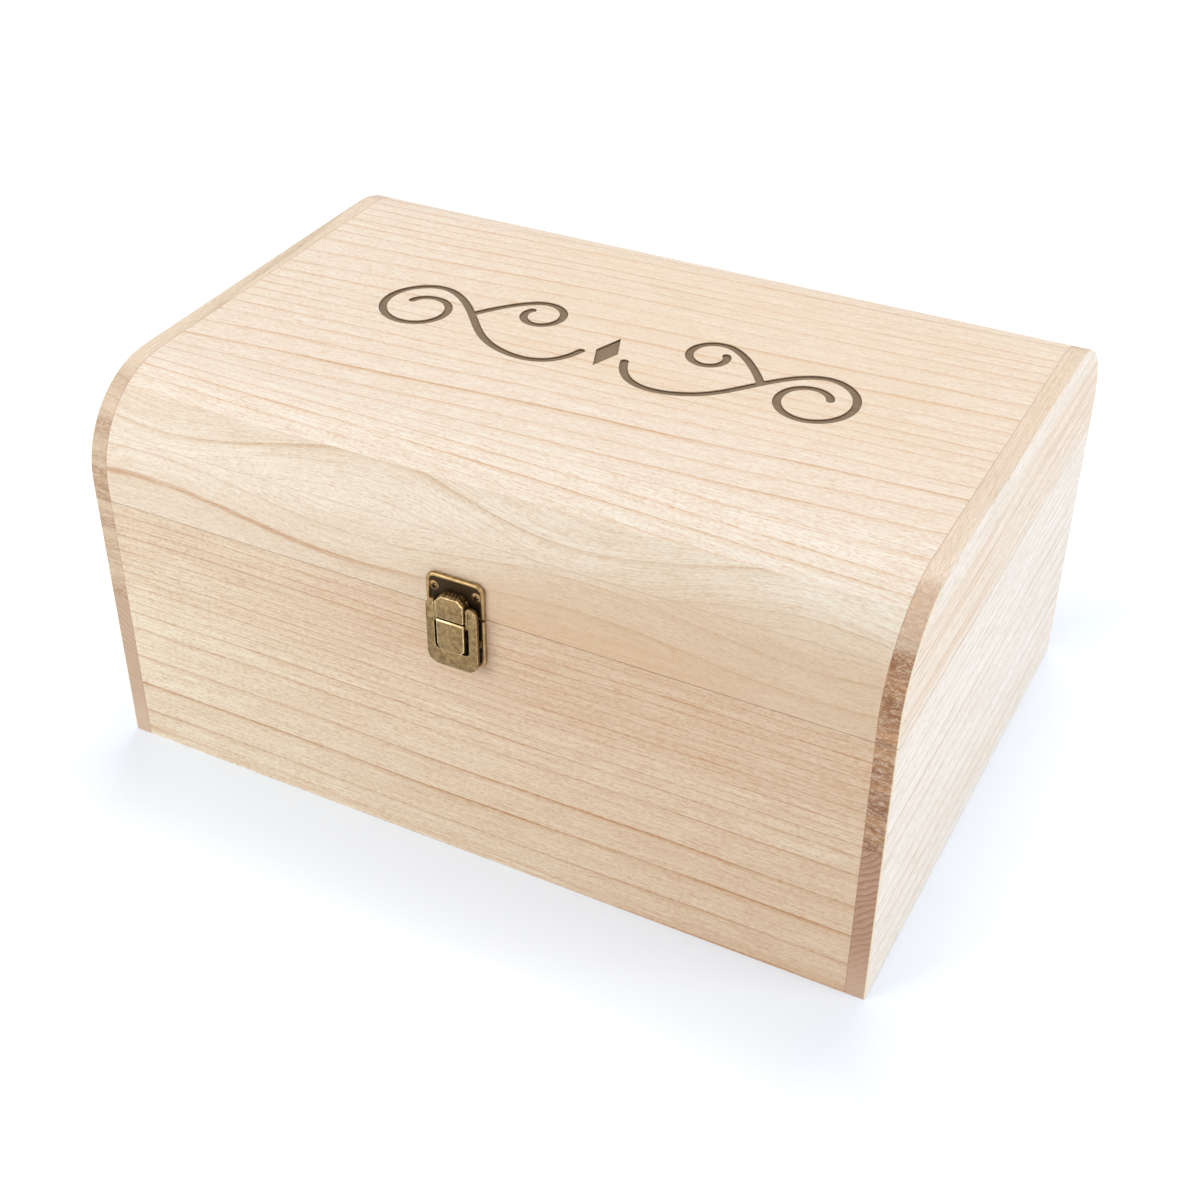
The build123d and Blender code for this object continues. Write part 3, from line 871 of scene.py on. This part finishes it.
# The near black first tone is painted shade in the cross recesses of the screws.
screw_tones = (screen(20, 15, 11), screen(116, 92, 62), screen(176, 146, 102))
latch_screw_brass = aged_brass(
    "latch_screw_brass", 0.0006, 0.0008, screw_tones, 0.42, from_latch_screw
)
hinge_screw_brass = aged_brass(
    "hinge_screw_brass", 0.0009, 0.0011, screw_tones, 0.42, from_hinge_screw
)
pin_brass = aged_brass("pin_brass", 0.0004, 0.0016, latch_tones, 0.3)
dress(latch_screw_brass, "latch_screws", "strike_screws")
dress(pin_brass, "latch_pivot_pins")
for hand in ("left", "right"):
    dress(hinge_screw_brass, f"hinge_{hand}_base_screws", f"hinge_{hand}_lid_screws")
    dress(pin_brass, f"hinge_{hand}_pin")

# ---------------------------------------------------------------- hinges
# Two brass hinges on the back. Each leaf is a plate with rolled knuckles on the pin and a flap
# along them. The two flaps meet and stop the lid a little past upright. Sizes are in millimetres.
hinge_brass = aged_brass("hinge_brass", 0.0002, 0.0007, latch_tones, 0.34)
hinge_metal = (hinge_brass, edge_brass)
hinge_y = 127.3
leaf_half_width = 15.0
leaf_near, leaf_far = 0.15, 16.15  # edges of a leaf, up or down from the axis
leaf_back = 126.2
barrel_radius = 2.2
barrel_length = 9.8
barrel_places = {"base": (-10.1, 10.1), "lid": (0.0,)}
flap_reach = 7.0
flap_thickness = 1.2
flap_turn = 48.25  # degrees up or down from level


def turn_about_pin(piece, degrees):
    """Turn a piece about the axis of the hinges."""
    pick(piece)
    bpy.ops.object.mode_set(mode="EDIT")
    bpy.ops.mesh.select_all(action="SELECT")
    bpy.ops.transform.rotate(
        value=math.radians(degrees),
        orient_axis="X",
        center_override=(0.0, hinge_y * MM, hinge_z * MM),
    )
    bpy.ops.object.mode_set(mode="OBJECT")


for hand, centre in (("left", -hinge_reach), ("right", hinge_reach)):
    for owner, up in (("base", -1), ("lid", 1)):
        low, high = sorted((hinge_z + up * leaf_near, hinge_z + up * leaf_far))
        left, right = centre - leaf_half_width, centre + leaf_half_width
        plate = block("leaf", (left, -wall / MM, low), (right, leaf_back, high))
        round_corners(plate, front_to_back(), 1.5, 6)
        rub_edges(plate, 0.25, hinge_metal)
        parts = [plate]
        low, high = sorted((hinge_z, hinge_z + up * flap_thickness))
        for place in barrel_places[owner]:
            middle = centre + place
            knuckle = bar("knuckle", (middle, hinge_y, hinge_z), barrel_radius, barrel_length, 32)
            rub_edges(knuckle, 0.2, hinge_metal)
            left, right = middle - barrel_length / 2, middle + barrel_length / 2
            flap = block("flap", (left, hinge_y, low), (right, hinge_y + flap_reach, high))
            rub_edges(flap, 0.2, hinge_metal)
            turn_about_pin(flap, -flap_turn * up)
            parts += [knuckle, flap]
        leaf = put_together(f"hinge_{hand}_{owner}_leaf_rolled", *parts)
        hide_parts(f"hinge_{hand}_{owner}_leaf")
        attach(leaf, owner)

# ---------------------------------------------------------------- studio
# A white floor in a white room, lit softly from the front left, from above and from the right.
# The floor and the sky look white to the camera without lighting the box more.
black = (0.0, 0.0, 0.0, 1.0)
white = (1.0, 1.0, 1.0, 1.0)


def seen_or_mirrored(wire):
    """One for what the camera sees, itself or in metal, and nought for light on the box."""
    camera_ray, glossy_ray = [
        wire.add("ShaderNodeLightPath", output=f"Is {ray} Ray") for ray in ("Camera", "Glossy")
    ]
    return camera_ray.math("MAXIMUM", glossy_ray)


bpy.ops.object.select_all(action="DESELECT")
bpy.ops.mesh.primitive_plane_add(size=12.0, location=(0.0, 0.0, 0.0))
floor = bpy.context.object
floor.name = "studio_floor"
floor_material, floor_surface, floor_wire = new_material("studio_floor_white")
floor_surface.inputs["Base Color"].default_value = (0.88, 0.88, 0.88, 1.0)
floor_surface.inputs["Roughness"].default_value = 0.9
floor_surface.inputs["Specular IOR Level"].default_value = 0.1
floor_surface.inputs["Emission Strength"].default_value = 1.0

# The floor glows faintly blue beside the box and white further off. The faint glow near the box
# is a painted shadow round it, over the shadow that the lamps cast.
floor_x, floor_y = floor_wire.axes("Object")[:2]
from_box = (abs(floor_x) - 0.15).math("MAXIMUM", abs(floor_y) - 0.125)
floor_glow_and_painted_shadow = from_box.ease(0.0, 0.1).tint((0.10, 0.165, 0.24, 1.0), (0.31, 0.35, 0.39, 1.0))
floor_glow_and_painted_shadow = from_box.ease(0.15, 1.2).tint(floor_glow_and_painted_shadow, white)
seen_or_mirrored(floor_wire).tint(black, floor_glow_and_painted_shadow).link(floor_surface, "Emission Color")
floor.data.materials.append(floor_material)

world = bpy.data.worlds.new("studio_world")
bpy.context.scene.world = world
world.use_nodes = True
background = world.node_tree.nodes["Background"]
background.inputs["Strength"].default_value = 1.0
sky_tone = seen_or_mirrored(Wire(world.node_tree)).tint((0.46, 0.46, 0.46, 1.0), white)
sky_tone.link(background, "Color")


def soft_lamp(name, place, aim, size, power):
    """Hang a square soft lamp at a place, turned to face a point."""
    bpy.ops.object.light_add(type="AREA", location=place)
    lamp = bpy.context.object
    lamp.name = name
    lamp.data.shape = "SQUARE"
    lamp.data.size = size
    lamp.data.energy = power
    turn = [aim[axis] - place[axis] for axis in range(3)]
    reach = math.hypot(turn[0], turn[1])
    lamp.rotation_euler = (
        math.pi / 2 + math.atan2(turn[2], reach),
        0.0,
        math.atan2(turn[1], turn[0]) - math.pi / 2,
    )


soft_lamp("front_lamp", (-0.9, -1.2, 0.8), (-0.1, -0.1, 0.1), 0.9, 11.4)
soft_lamp("top_lamp", (-0.2, 1.0, 2.0), (0.0, 0.0, 0.12), 1.2, 13.4)
soft_lamp("side_lamp", (2.1, 0.1, 1.0), (0.15, 0.0, 0.08), 1.2, 18.2)

# The camera stands a little above the box, off its front right corner.
bpy.ops.object.camera_add(
    location=(0.2996, -0.6028, 0.5345),
    rotation=(math.radians(54.267), math.radians(0.645), math.radians(28.43)),
)
camera = bpy.context.object
camera.data.lens = 55.09
camera.data.sensor_width = 36.0
camera.data.shift_x = 0.05
camera.data.clip_start = 0.02
bpy.context.scene.camera = camera
bpy.context.scene.view_settings.view_transform = "Standard"
